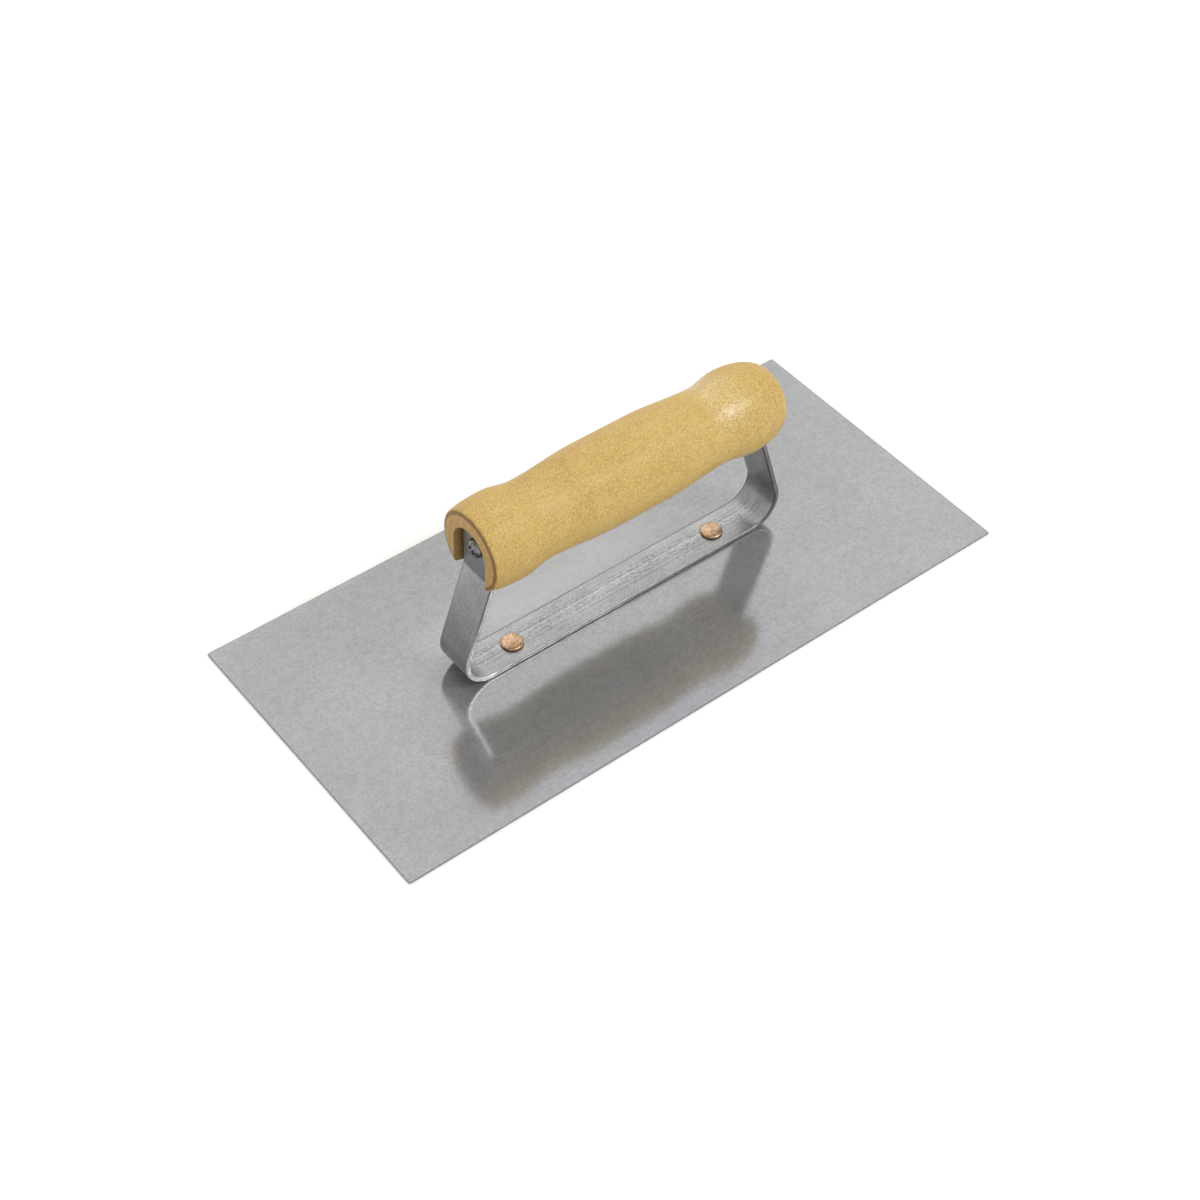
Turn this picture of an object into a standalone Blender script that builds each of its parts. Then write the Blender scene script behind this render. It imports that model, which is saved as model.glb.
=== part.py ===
"""Finishing trowel: a flat steel blade, a bent steel bracket and a turned wooden handle.

Metres, +Z up. The origin is at the middle of the blade's underside, +X runs along the
blade to the rear end of the handle, and +Y across it.
"""

import math

import bmesh
import bpy
from mathutils import Matrix, Vector

NAME = "finishing_trowel"

# Clearance kept between pieces that touch in the real tool.
GAP = 0.0003

# Blade: a plain sheet with slightly eased corners.
BLADE_LENGTH = 0.280
BLADE_WIDTH = 0.130
BLADE_THICKNESS = 0.0008
BLADE_CORNER = 0.0008

# The bracket, and the handle with it, sit this far to the rear of the blade's middle.
BRACKET_OFFSET = 0.0012

# Bracket: one strap. Its base lies on the blade and both ends turn up and lean inwards.
STRAP_WIDTH = 0.0168
STRAP_THICKNESS = 0.0020
STRAP_REACH = 0.0758
BEND_RADIUS = 0.0125
ARM_LEAN = math.radians(18.2)
TAB_FACE = 0.0645
TAB_BEND_RADIUS = 0.0030

# Handle: turned about an axis parallel to the blade.
AXIS_HEIGHT = 0.0635
HANDLE_FRONT = -0.0678
HANDLE_REAR = 0.0710
BELLY_RADIUS = 0.0172
BELLY_HALF = 0.0120
NECK_RADIUS = 0.0155
NECK_AT = 0.0410
BULGE_AT = 0.0540
FRONT_FACE_RADIUS = 0.0152
REAR_FACE_RADIUS = 0.0098
FACE_EDGE = 0.0005
SLOT_CLEARANCE = GAP

# Rivets: low domed heads above, countersunk tails flush below.
RIVET_SPACING = 0.0978
RIVET_HEAD_RADIUS = 0.0044
RIVET_HEAD_HEIGHT = 0.0016
RIVET_RIM_HEIGHT = 0.0007
RIVET_SHANK_RADIUS = 0.0025
RIVET_TAIL_RADIUS = 0.0033
RIVET_TAIL_LIFT = 0.0001
COUNTERSINK_TOP = 0.0030
COUNTERSINK_BOTTOM = 0.0043

# Screws: round heads with a cross recess, driven into the ends of the handle.
SCREW_HEAD_RADIUS = 0.0038
SCREW_HEAD_HEIGHT = 0.0022
SCREW_SHANK_RADIUS = 0.0019
SCREW_LENGTH = 0.0250
SCREW_POINT = 0.0045
RECESS_SPAN = 0.0044
RECESS_WIDTH = 0.0009
RECESS_DEPTH = 0.0013

# Fineness of the round shapes.
TURN_STEPS = 64
SMALL_STEPS = 32
BEND_STEPS = 14
MERGE = 0.00001

# Heights that follow from the sizes above.
BASE_UNDER = BLADE_THICKNESS + GAP
BASE_TOP = BASE_UNDER + STRAP_THICKNESS
SLOT_HALF = STRAP_WIDTH / 2 + SLOT_CLEARANCE
SLOT_FLOOR = TAB_FACE - STRAP_THICKNESS - GAP


def clear_scene():
    """Remove everything that a new file starts with."""
    for obj in list(bpy.data.objects):
        bpy.data.objects.remove(obj, do_unlink=True)


def make_collection(name):
    """Add a collection under the scene's own."""
    collection = bpy.data.collections.new(name)
    bpy.context.scene.collection.children.link(collection)
    return collection


def make_material(name, colour, roughness, metallic):
    """Add a plain Principled material."""
    material = bpy.data.materials.new(name)
    material.use_nodes = True
    shader = material.node_tree.nodes["Principled BSDF"]
    shader.inputs["Base Color"].default_value = (*colour, 1.0)
    shader.inputs["Roughness"].default_value = roughness
    shader.inputs["Metallic"].default_value = metallic
    material.diffuse_color = (*colour, 1.0)
    return material


def mesh_object(name, mesh, collection):
    """Put a mesh in the scene."""
    obj = bpy.data.objects.new(name, mesh)
    collection.objects.link(obj)
    return obj


def box_mesh(name, size, centre=(0.0, 0.0, 0.0)):
    """A cuboid with its scale already in the mesh."""
    bm = bmesh.new()
    bmesh.ops.create_cube(bm, size=1.0)
    bmesh.ops.scale(bm, vec=Vector(size), verts=bm.verts)
    bmesh.ops.translate(bm, vec=Vector(centre), verts=bm.verts)
    mesh = bpy.data.meshes.new(name)
    bm.to_mesh(mesh)
    bm.free()
    return mesh


def cone_mesh(name, radius_low, radius_high, depth, steps):
    """A closed cone or cylinder that stands on its own origin."""
    bm = bmesh.new()
    bmesh.ops.create_cone(
        bm,
        cap_ends=True,
        segments=steps,
        radius1=radius_low,
        radius2=radius_high,
        depth=depth,
        matrix=Matrix.Translation((0.0, 0.0, depth / 2)),
    )
    mesh = bpy.data.meshes.new(name)
    bm.to_mesh(mesh)
    bm.free()
    return mesh


def outline_mesh(name, points, half_depth):
    """A flat outline, filled and made thick, as a closed mesh."""
    curve = bpy.data.curves.new(name, "CURVE")
    curve.dimensions = "2D"
    curve.fill_mode = "BOTH"
    curve.extrude = half_depth
    spline = curve.splines.new("POLY")
    spline.points.add(len(points) - 1)
    for point, (u, v) in zip(spline.points, points):
        point.co = (u, v, 0.0, 1.0)
    spline.use_cyclic_u = True
    guide = bpy.data.objects.new(name + "_outline", curve)
    bpy.context.scene.collection.objects.link(guide)
    bpy.context.view_layer.update()
    depsgraph = bpy.context.evaluated_depsgraph_get()
    mesh = bpy.data.meshes.new_from_object(guide.evaluated_get(depsgraph))
    bpy.data.objects.remove(guide, do_unlink=True)
    mesh.name = name
    bm = bmesh.new()
    bm.from_mesh(mesh)
    bmesh.ops.remove_doubles(bm, verts=bm.verts, dist=MERGE)
    bmesh.ops.recalc_face_normals(bm, faces=bm.faces)
    bm.to_mesh(mesh)
    bm.free()
    mesh.materials.clear()
    return mesh


def turned_object(name, profile, steps, collection):
    """Turn a profile of (radius, height) points, listed top to bottom, about Z."""
    bm = bmesh.new()
    verts = [bm.verts.new((radius, 0.0, height)) for radius, height in profile]
    for upper, lower in zip(verts, verts[1:]):
        bm.edges.new((upper, lower))
    mesh = bpy.data.meshes.new(name)
    bm.to_mesh(mesh)
    bm.free()
    obj = mesh_object(name, mesh, collection)
    screw = obj.modifiers.new("Turn", "SCREW")
    screw.axis = "Z"
    screw.angle = math.tau
    screw.steps = steps
    screw.render_steps = steps
    screw.use_merge_vertices = True
    screw.merge_threshold = MERGE
    return obj


def make_cutter(name, mesh, location, rotation, collection):
    """Place a cutter, which is never rendered or built."""
    cutter = mesh_object(name, mesh, collection)
    cutter.location = location
    cutter.rotation_euler = rotation
    cutter.hide_render = True
    cutter.display_type = "WIRE"
    return cutter


def add_boolean(obj, cutter, operation="DIFFERENCE"):
    """Cut or trim an object with a cutter."""
    boolean = obj.modifiers.new(cutter.name, "BOOLEAN")
    boolean.operation = operation
    boolean.solver = "EXACT"
    boolean.object = cutter


def shade(mesh, angle):
    """Smooth shading with creases kept above an angle."""
    mesh.shade_smooth()
    mesh.set_sharp_from_angle(angle=angle)


def finish(obj, material, root):
    """Give a piece its material and hang it on the root."""
    obj.data.materials.clear()
    obj.data.materials.append(material)
    obj.parent = root


def ease(start, end, share):
    """Blend two radii along half a cosine wave."""
    return start + (end - start) * (1.0 - math.cos(math.pi * share)) / 2


def handle_radius(along):
    """Radius of the handle at a distance from its middle, between the two end bulges."""
    distance = abs(along)
    if distance <= BELLY_HALF:
        return BELLY_RADIUS
    if distance <= NECK_AT:
        return ease(BELLY_RADIUS, NECK_RADIUS, (distance - BELLY_HALF) / (NECK_AT - BELLY_HALF))
    return ease(NECK_RADIUS, BELLY_RADIUS, (distance - NECK_AT) / (BULGE_AT - NECK_AT))


def shoulder(start, end, end_radius, count):
    """Quarter ellipse from the bulge down to the flat end face."""
    points = []
    for i in range(count + 1):
        turn = math.pi / 2 * i / count
        radius = end_radius + (BELLY_RADIUS - end_radius) * math.cos(turn)
        points.append((radius, start + (end - start) * math.sin(turn)))
    return points


def handle_profile():
    """Turned outline of the handle from its rear face to its front face."""
    rear = shoulder(BULGE_AT, HANDLE_REAR, REAR_FACE_RADIUS, 9)
    front = shoulder(-BULGE_AT, HANDLE_FRONT + FACE_EDGE, FRONT_FACE_RADIUS, 6)
    body = []
    count = 44
    for i in range(1, count):
        along = BULGE_AT * (1.0 - 2.0 * i / count)
        body.append((handle_radius(along), along))
    profile = [(0.0, HANDLE_REAR)]
    profile.extend(reversed(rear))
    profile.extend(body)
    profile.extend(front)
    profile.append((FRONT_FACE_RADIUS - FACE_EDGE, HANDLE_FRONT))
    profile.append((0.0, HANDLE_FRONT))
    return profile


def arch_outline(half_width, bottom, crown, count):
    """Straight legs up to a crown centre and a half round top, as (across, height) points."""
    points = [(half_width, bottom)]
    for i in range(count + 1):
        turn = math.pi * i / count
        points.append((half_width * math.cos(turn), crown + half_width * math.sin(turn)))
    points.append((-half_width, bottom))
    return points


def arc(centre, radius, start, end, count):
    """Points on an arc between two angles."""
    points = []
    for i in range(count + 1):
        turn = start + (end - start) * i / count
        points.append((centre[0] + radius * math.cos(turn), centre[1] + radius * math.sin(turn)))
    return points


def strap_side(offset, top):
    """One face of the strap's rear half, from the base up: offset 0 is the outer face."""
    centre = (STRAP_REACH - BEND_RADIUS, BASE_UNDER + BEND_RADIUS)
    points = arc(centre, BEND_RADIUS - offset, -math.pi / 2, ARM_LEAN, BEND_STEPS)
    foot = (
        centre[0] + BEND_RADIUS * math.cos(ARM_LEAN),
        centre[1] + BEND_RADIUS * math.sin(ARM_LEAN),
    )
    upper_x = TAB_FACE + TAB_BEND_RADIUS
    shift = (upper_x - foot[0] - TAB_BEND_RADIUS * math.cos(ARM_LEAN)) / -math.tan(ARM_LEAN)
    upper = (upper_x, foot[1] + shift + TAB_BEND_RADIUS * math.sin(ARM_LEAN))
    bend = TAB_BEND_RADIUS + offset
    points.extend(arc(upper, bend, math.pi + ARM_LEAN, math.pi, BEND_STEPS // 3))
    points.append((TAB_FACE - offset, top))
    return points


def strap_outline(top):
    """Closed side view of the strap, as (along, height) points."""
    outer = strap_side(0.0, top)
    inner = strap_side(STRAP_THICKNESS, top)
    half = outer + list(reversed(inner))
    mirrored = [(-u, v) for u, v in reversed(half)]
    return half + mirrored


def build_blade(parts, cutters, materials, root):
    """The sheet, with two holes countersunk from below."""
    mesh = box_mesh("blade", (BLADE_LENGTH, BLADE_WIDTH, BLADE_THICKNESS), (0.0, 0.0, BLADE_THICKNESS / 2))
    bm = bmesh.new()
    bm.from_mesh(mesh)
    corners = [e for e in bm.edges if abs(e.verts[0].co.z - e.verts[1].co.z) > BLADE_THICKNESS / 2]
    bmesh.ops.bevel(bm, geom=corners, offset=BLADE_CORNER, segments=4, profile=0.5, affect="EDGES")
    bm.to_mesh(mesh)
    bm.free()
    blade = mesh_object("blade", mesh, parts)
    slope = (COUNTERSINK_BOTTOM - COUNTERSINK_TOP) / BLADE_THICKNESS
    extra = BLADE_THICKNESS / 2
    sink = cone_mesh(
        "countersink",
        COUNTERSINK_BOTTOM + slope * extra,
        COUNTERSINK_TOP - slope * extra,
        BLADE_THICKNESS + 2 * extra,
        SMALL_STEPS,
    )
    for end, side in (("front", -1), ("rear", 1)):
        place = (BRACKET_OFFSET + side * RIVET_SPACING / 2, 0.0, -extra)
        add_boolean(blade, make_cutter("blade_hole_" + end, sink, place, (0.0, 0.0, 0.0), cutters))
    finish(blade, materials["steel"], root)


def build_bracket(parts, cutters, materials, root):
    """The strap: side view made thick, trimmed to width with round ends, then drilled."""
    side_view = outline_mesh("bracket", strap_outline(AXIS_HEIGHT + STRAP_WIDTH), STRAP_WIDTH)
    upright = Matrix.Rotation(math.pi / 2, 4, "X")
    side_view.transform(upright)
    bracket = mesh_object("bracket", side_view, parts)
    bracket.location = (BRACKET_OFFSET, 0.0, 0.0)
    half = STRAP_WIDTH / 2
    arch = outline_mesh("strap_trim", arch_outline(half, -half, AXIS_HEIGHT, SMALL_STEPS), 2 * STRAP_REACH)
    along = (math.pi / 2, 0.0, math.pi / 2)
    add_boolean(bracket, make_cutter("strap_trim", arch, (0.0, 0.0, 0.0), along, cutters), "INTERSECT")
    drill = cone_mesh("strap_drill", RIVET_SHANK_RADIUS + GAP, RIVET_SHANK_RADIUS + GAP, 0.010, SMALL_STEPS)
    bore = cone_mesh("tab_drill", SCREW_SHANK_RADIUS + GAP, SCREW_SHANK_RADIUS + GAP, 0.020, SMALL_STEPS)
    for end, side in (("front", -1), ("rear", 1)):
        place = (BRACKET_OFFSET + side * RIVET_SPACING / 2, 0.0, -BASE_TOP)
        add_boolean(bracket, make_cutter("strap_hole_" + end, drill, place, (0.0, 0.0, 0.0), cutters))
        place = (BRACKET_OFFSET + side * (TAB_FACE - 0.010), 0.0, AXIS_HEIGHT)
        turn = (0.0, side * math.pi / 2, 0.0)
        add_boolean(bracket, make_cutter("tab_hole_" + end, bore, place, turn, cutters))
    shade(bracket.data, math.radians(35.0))
    finish(bracket, materials["strap"], root)


def build_handle(parts, cutters, materials, root):
    """The turned handle with a slot and a pilot hole in each end."""
    handle = turned_object("handle", handle_profile(), TURN_STEPS, parts)
    handle.location = (BRACKET_OFFSET, 0.0, AXIS_HEIGHT)
    handle.rotation_euler = (0.0, math.pi / 2, 0.0)
    depth = HANDLE_REAR
    slot = outline_mesh("slot", arch_outline(SLOT_HALF, -2 * BELLY_RADIUS, 0.0, SMALL_STEPS), depth / 2)
    along = (math.pi / 2, 0.0, math.pi / 2)
    hole_length = SCREW_LENGTH + 2 * GAP
    pilot = cone_mesh("pilot", SCREW_SHANK_RADIUS + GAP, SCREW_SHANK_RADIUS + GAP, hole_length, SMALL_STEPS)
    for end, side in (("front", -1), ("rear", 1)):
        place = (BRACKET_OFFSET + side * (SLOT_FLOOR + depth / 2), 0.0, AXIS_HEIGHT)
        add_boolean(handle, make_cutter("slot_" + end, slot, place, along, cutters))
        place = (BRACKET_OFFSET + side * (TAB_FACE + GAP), 0.0, AXIS_HEIGHT)
        turn = (0.0, -side * math.pi / 2, 0.0)
        add_boolean(handle, make_cutter("pilot_" + end, pilot, place, turn, cutters))
    shade(handle.data, math.radians(35.0))
    finish(handle, materials["wood"], root)


def rivet_profile():
    """Domed head, rim, shank and flared tail, from the top down."""
    under = BASE_TOP + GAP
    rim = under + RIVET_RIM_HEIGHT
    dome = RIVET_HEAD_HEIGHT - RIVET_RIM_HEIGHT
    profile = []
    count = 8
    for i in range(count + 1):
        turn = math.pi / 2 * i / count
        profile.append((RIVET_HEAD_RADIUS * math.sin(turn), rim + dome * math.cos(turn)))
    profile.append((RIVET_HEAD_RADIUS, under))
    profile.append((RIVET_SHANK_RADIUS, under))
    profile.append((RIVET_SHANK_RADIUS, BLADE_THICKNESS))
    profile.append((RIVET_TAIL_RADIUS, RIVET_TAIL_LIFT))
    profile.append((0.0, RIVET_TAIL_LIFT))
    return profile


def build_rivets(parts, materials, root):
    """Two equal rivets through the strap and the blade."""
    for end, side in (("front", -1), ("rear", 1)):
        rivet = turned_object("rivet_" + end, rivet_profile(), SMALL_STEPS, parts)
        rivet.location = (BRACKET_OFFSET + side * RIVET_SPACING / 2, 0.0, 0.0)
        shade(rivet.data, math.radians(40.0))
        finish(rivet, materials["copper"], root)


def screw_profile():
    """Round head over a plain pointed shank, from the head down; the seat is at height 0."""
    profile = []
    count = 7
    for i in range(count + 1):
        turn = math.pi / 2 * i / count
        profile.append((SCREW_HEAD_RADIUS * math.sin(turn), SCREW_HEAD_HEIGHT * (0.25 + 0.75 * math.cos(turn))))
    profile.append((SCREW_HEAD_RADIUS, 0.0))
    profile.append((SCREW_SHANK_RADIUS, 0.0))
    profile.append((SCREW_SHANK_RADIUS, SCREW_POINT - SCREW_LENGTH))
    profile.append((0.0, -SCREW_LENGTH))
    return profile


def build_screws(parts, cutters, materials, root):
    """Two equal screws, each through a tab of the bracket into an end of the handle."""
    blade_size = (RECESS_SPAN, RECESS_WIDTH, 2 * RECESS_DEPTH)
    recess = box_mesh("recess", blade_size)
    for end, side in (("front", -1), ("rear", 1)):
        screw = turned_object("screw_" + end, screw_profile(), SMALL_STEPS, parts)
        seat = BRACKET_OFFSET + side * (TAB_FACE + GAP)
        screw.location = (seat, 0.0, AXIS_HEIGHT)
        screw.rotation_euler = (0.0, side * math.pi / 2, 0.0)
        top = (seat + side * SCREW_HEAD_HEIGHT, 0.0, AXIS_HEIGHT)
        for index, turn in enumerate((math.pi / 4, -math.pi / 4)):
            spin = Matrix.Rotation(side * math.pi / 2, 4, "Y") @ Matrix.Rotation(turn, 4, "Z")
            name = "recess_" + end + "_" + str(index + 1)
            add_boolean(screw, make_cutter(name, recess, top, spin.to_euler(), cutters))
        shade(screw.data, math.radians(40.0))
        finish(screw, materials["screw"], root)


def main():
    """Build the trowel."""
    clear_scene()
    parts = make_collection(NAME)
    cutters = make_collection(NAME + "_cutters")
    root = bpy.data.objects.new(NAME + "_root", None)
    parts.objects.link(root)
    materials = {
        "steel": make_material("blade_steel", (0.42, 0.42, 0.43), 0.38, 1.0),
        "strap": make_material("strap_steel", (0.36, 0.36, 0.37), 0.42, 1.0),
        "copper": make_material("rivet_copper", (0.72, 0.42, 0.27), 0.35, 1.0),
        "wood": make_material("varnished_pine", (0.62, 0.40, 0.15), 0.38, 0.0),
        "screw": make_material("screw_zinc", (0.55, 0.56, 0.58), 0.25, 1.0),
    }
    build_blade(parts, cutters, materials, root)
    build_bracket(parts, cutters, materials, root)
    build_handle(parts, cutters, materials, root)
    build_rivets(parts, materials, root)
    build_screws(parts, cutters, materials, root)


main()
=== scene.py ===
import math

import bmesh
import bpy
from mathutils import Matrix, Vector


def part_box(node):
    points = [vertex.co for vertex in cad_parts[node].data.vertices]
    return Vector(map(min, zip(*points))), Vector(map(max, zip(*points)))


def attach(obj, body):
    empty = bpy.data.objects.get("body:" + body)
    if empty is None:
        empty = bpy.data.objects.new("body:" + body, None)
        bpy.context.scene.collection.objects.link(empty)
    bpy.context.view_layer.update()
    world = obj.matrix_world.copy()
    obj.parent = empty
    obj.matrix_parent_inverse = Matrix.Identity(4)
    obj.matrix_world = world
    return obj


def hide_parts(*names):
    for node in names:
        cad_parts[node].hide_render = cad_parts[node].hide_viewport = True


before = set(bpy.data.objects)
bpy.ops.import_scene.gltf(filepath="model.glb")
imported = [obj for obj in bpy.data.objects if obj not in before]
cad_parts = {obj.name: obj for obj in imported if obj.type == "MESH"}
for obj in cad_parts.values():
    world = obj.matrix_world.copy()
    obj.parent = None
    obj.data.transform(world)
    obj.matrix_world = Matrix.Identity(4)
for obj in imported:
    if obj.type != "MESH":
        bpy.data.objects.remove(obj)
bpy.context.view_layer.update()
print("frame loaded:", ", ".join(sorted(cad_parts)))

bpy.context.scene.view_settings.view_transform = "Standard"


# small helpers used by every piece

hair = 0.0001  # slack when faces and edges are picked by their place
squarely = 0.9  # how far a face has to look along an axis to count as facing it


def deselectAll():
    bpy.ops.object.select_all(action="DESELECT")


def pickOnly(piece):
    deselectAll()
    piece.select_set(True)
    bpy.context.view_layer.objects.active = piece


def applyPlace(piece):
    pickOnly(piece)
    bpy.ops.object.transform_apply(location=True, rotation=True, scale=True)


def openForEditing(piece, mode):
    pickOnly(piece)
    bpy.ops.object.mode_set(mode="EDIT")
    bpy.ops.mesh.select_mode(type=mode)
    bpy.ops.mesh.select_all(action="DESELECT")


def closeEditing():
    bpy.ops.object.mode_set(mode="OBJECT")


def pickFaces(piece, wanted):
    cage = bmesh.from_edit_mesh(piece.data)
    bpy.ops.mesh.select_all(action="DESELECT")
    for face in cage.faces:
        if wanted(face.calc_center_median(), face.normal):
            face.select_set(True)
    bmesh.update_edit_mesh(piece.data)


def pickEdges(piece, wanted):
    cage = bmesh.from_edit_mesh(piece.data)
    bpy.ops.mesh.select_all(action="DESELECT")
    for edge in cage.edges:
        if wanted(edge.verts[0].co, edge.verts[1].co):
            edge.select_set(True)
    bmesh.update_edit_mesh(piece.data)


def pull(x=0.0, z=0.0):
    bpy.ops.mesh.extrude_region_move(TRANSFORM_OT_translate={"value": (x, 0.0, z)})


def spinFaces(centre, axis, angle, steps):
    bpy.ops.mesh.spin(steps=steps, angle=angle, center=centre, axis=axis, use_auto_merge=False)


def cutWith(piece, cutter):
    pickOnly(piece)
    cut = piece.modifiers.new("cut", "BOOLEAN")
    cut.operation = "DIFFERENCE"
    cut.solver = "EXACT"
    cut.object = cutter
    bpy.ops.object.modifier_apply(modifier=cut.name)
    bpy.data.objects.remove(cutter, do_unlink=True)


def roundEdges(piece, width, segments, sharperThan, finishIndex=-1):
    pickOnly(piece)
    rounding = piece.modifiers.new("rounding", "BEVEL")
    rounding.width = width
    rounding.segments = segments
    rounding.limit_method = "ANGLE"
    rounding.angle_limit = math.radians(sharperThan)
    rounding.use_clamp_overlap = True
    rounding.material = finishIndex
    bpy.ops.object.modifier_apply(modifier=rounding.name)


def tidyShell(piece, smoothBelow):
    openForEditing(piece, "VERT")
    bpy.ops.mesh.select_all(action="SELECT")
    bpy.ops.mesh.remove_doubles(threshold=0.000002)
    bpy.ops.mesh.normals_make_consistent(inside=False)
    closeEditing()
    bpy.ops.object.shade_smooth_by_angle(angle=math.radians(smoothBelow))


def evenShade(piece):
    # broad faces keep their own normals, so small rounds beside them don't darken them
    pickOnly(piece)
    weighting = piece.modifiers.new("evenShade", "WEIGHTED_NORMAL")
    weighting.mode = "FACE_AREA"
    weighting.keep_sharp = True
    bpy.ops.object.modifier_apply(modifier=weighting.name)


def dress(piece, *finishes):
    piece.data.materials.clear()
    for finish in finishes:
        piece.data.materials.append(finish)


def copyOf(piece, name, shiftX, halfTurn=False):
    pickOnly(piece)
    bpy.ops.object.duplicate(linked=False)
    twin = bpy.context.object
    twin.name = name
    twin.data.name = name
    twin.location.x = shiftX
    twin.rotation_euler.z = math.pi if halfTurn else 0.0
    applyPlace(twin)
    return twin


def rodAlongX(radius, start, end, height, sides):
    bpy.ops.mesh.primitive_cylinder_add(
        vertices=sides, radius=radius, depth=abs(end - start),
        location=((start + end) / 2, 0.0, height), rotation=(0.0, math.pi / 2, 0.0))
    rod = bpy.context.object
    applyPlace(rod)
    return rod


# sizes read from the frame

bladeLow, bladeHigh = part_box("blade")
strapLow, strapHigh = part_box("bracket")
handleLow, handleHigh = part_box("handle")
frontRivetLow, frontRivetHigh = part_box("rivet_front")
rearRivetLow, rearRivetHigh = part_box("rivet_rear")
frontScrewLow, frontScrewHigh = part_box("screw_front")
rearScrewLow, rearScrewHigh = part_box("screw_rear")

middleX = (strapLow.x + strapHigh.x) / 2
axisZ = (handleLow.z + handleHigh.z) / 2
bladeTop = bladeHigh.z
snug = 0.00002  # room left between pieces that are pressed together


# helpers for the finishes

def newFinish(name, look):
    finish = bpy.data.materials.new(name)
    finish.use_nodes = True
    shader = finish.node_tree.nodes["Principled BSDF"]
    shader.inputs["Base Color"].default_value = (*look["colour"], 1.0)
    shader.inputs["Roughness"].default_value = look["roughness"]
    shader.inputs["Metallic"].default_value = look["metallic"]
    return finish, finish.node_tree, shader


def objectPlace(tree, stretch=(1.0, 1.0, 1.0), shift=(0.0, 0.0, 0.0), turn=(0.0, 0.0, 0.0)):
    where = tree.nodes.new("ShaderNodeTexCoord")
    mapping = tree.nodes.new("ShaderNodeMapping")
    mapping.inputs["Scale"].default_value = stretch
    mapping.inputs["Location"].default_value = shift
    mapping.inputs["Rotation"].default_value = turn
    tree.links.new(where.outputs["Object"], mapping.inputs["Vector"])
    return mapping.outputs["Vector"]


def cloudNoise(tree, place, scale, detail=3.0, roughness=0.55, distortion=0.0):
    noise = tree.nodes.new("ShaderNodeTexNoise")
    noise.inputs["Scale"].default_value = scale
    noise.inputs["Detail"].default_value = detail
    noise.inputs["Roughness"].default_value = roughness
    noise.inputs["Distortion"].default_value = distortion
    tree.links.new(place, noise.inputs["Vector"])
    return noise.outputs["Fac"]


def stretchedNoise(tree, stretch, detail, roughness=0.55, distortion=0.0, turn=(0.0, 0.0, 0.0)):
    return cloudNoise(tree, objectPlace(tree, stretch, turn=turn), 1.0, detail, roughness, distortion)


def remap(tree, value, fromLow, fromHigh, toLow, toHigh, smooth=False):
    span = tree.nodes.new("ShaderNodeMapRange")
    span.interpolation_type = "SMOOTHSTEP" if smooth else "LINEAR"
    span.inputs["From Min"].default_value = fromLow
    span.inputs["From Max"].default_value = fromHigh
    span.inputs["To Min"].default_value = toLow
    span.inputs["To Max"].default_value = toHigh
    tree.links.new(value, span.inputs["Value"])
    return span.outputs["Result"]


def combine(tree, operation, first, second=None):
    maths = tree.nodes.new("ShaderNodeMath")
    maths.operation = operation
    for socket, source in zip(maths.inputs, (first, second)):
        if source is None:
            continue
        if isinstance(source, (int, float)):
            socket.default_value = source
        else:
            tree.links.new(source, socket)
    return maths.outputs["Value"]


def times(tree, first, second):
    return combine(tree, "MULTIPLY", first, second)


def plus(tree, first, second):
    return combine(tree, "ADD", first, second)


def minus(tree, first, second):
    return combine(tree, "SUBTRACT", first, second)


def awayFrom(tree, value, centre):
    return combine(tree, "ABSOLUTE", minus(tree, value, centre))


def mixOf(tree, first, second, shares):
    return plus(tree, times(tree, first, shares[0]), times(tree, second, shares[1]))


def blendColours(tree, share, first, second, mode="MIX"):
    mix = tree.nodes.new("ShaderNodeMix")
    mix.data_type = "RGBA"
    mix.blend_type = mode
    mix.clamp_result = False
    for socket, source in ((mix.inputs[0], share), (mix.inputs[6], first), (mix.inputs[7], second)):
        if isinstance(source, tuple):
            socket.default_value = (*source, 1.0)
        elif isinstance(source, (int, float)):
            socket.default_value = source
        else:
            tree.links.new(source, socket)
    return mix.outputs[2]


def stain(tree, tone, colour, pattern, reach, smooth=False):
    return blendColours(tree, remap(tree, pattern, *reach, smooth), tone, colour)


def axisValue(tree, place, axis):
    split = tree.nodes.new("ShaderNodeSeparateXYZ")
    tree.links.new(place, split.inputs["Vector"])
    return split.outputs[axis]


def distanceOf(tree, place):
    away = tree.nodes.new("ShaderNodeVectorMath")
    away.operation = "LENGTH"
    tree.links.new(place, away.inputs[0])
    return away.outputs["Value"]


def setRoughness(tree, shader, pattern, reach):
    tree.links.new(remap(tree, pattern, *reach), shader.inputs["Roughness"])


def raiseFrom(tree, shader, height, strength, distance):
    bump = tree.nodes.new("ShaderNodeBump")
    bump.inputs["Strength"].default_value = strength
    bump.inputs["Distance"].default_value = distance
    tree.links.new(height, bump.inputs["Height"])
    tree.links.new(bump.outputs["Normal"], shader.inputs["Normal"])


# in the finishes below, a pattern is its scale or stretch, then detail, roughness and distortion
# a reach is where something begins and ends, then how strong it is at each of the two
# a bump is its strength and its height

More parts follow.
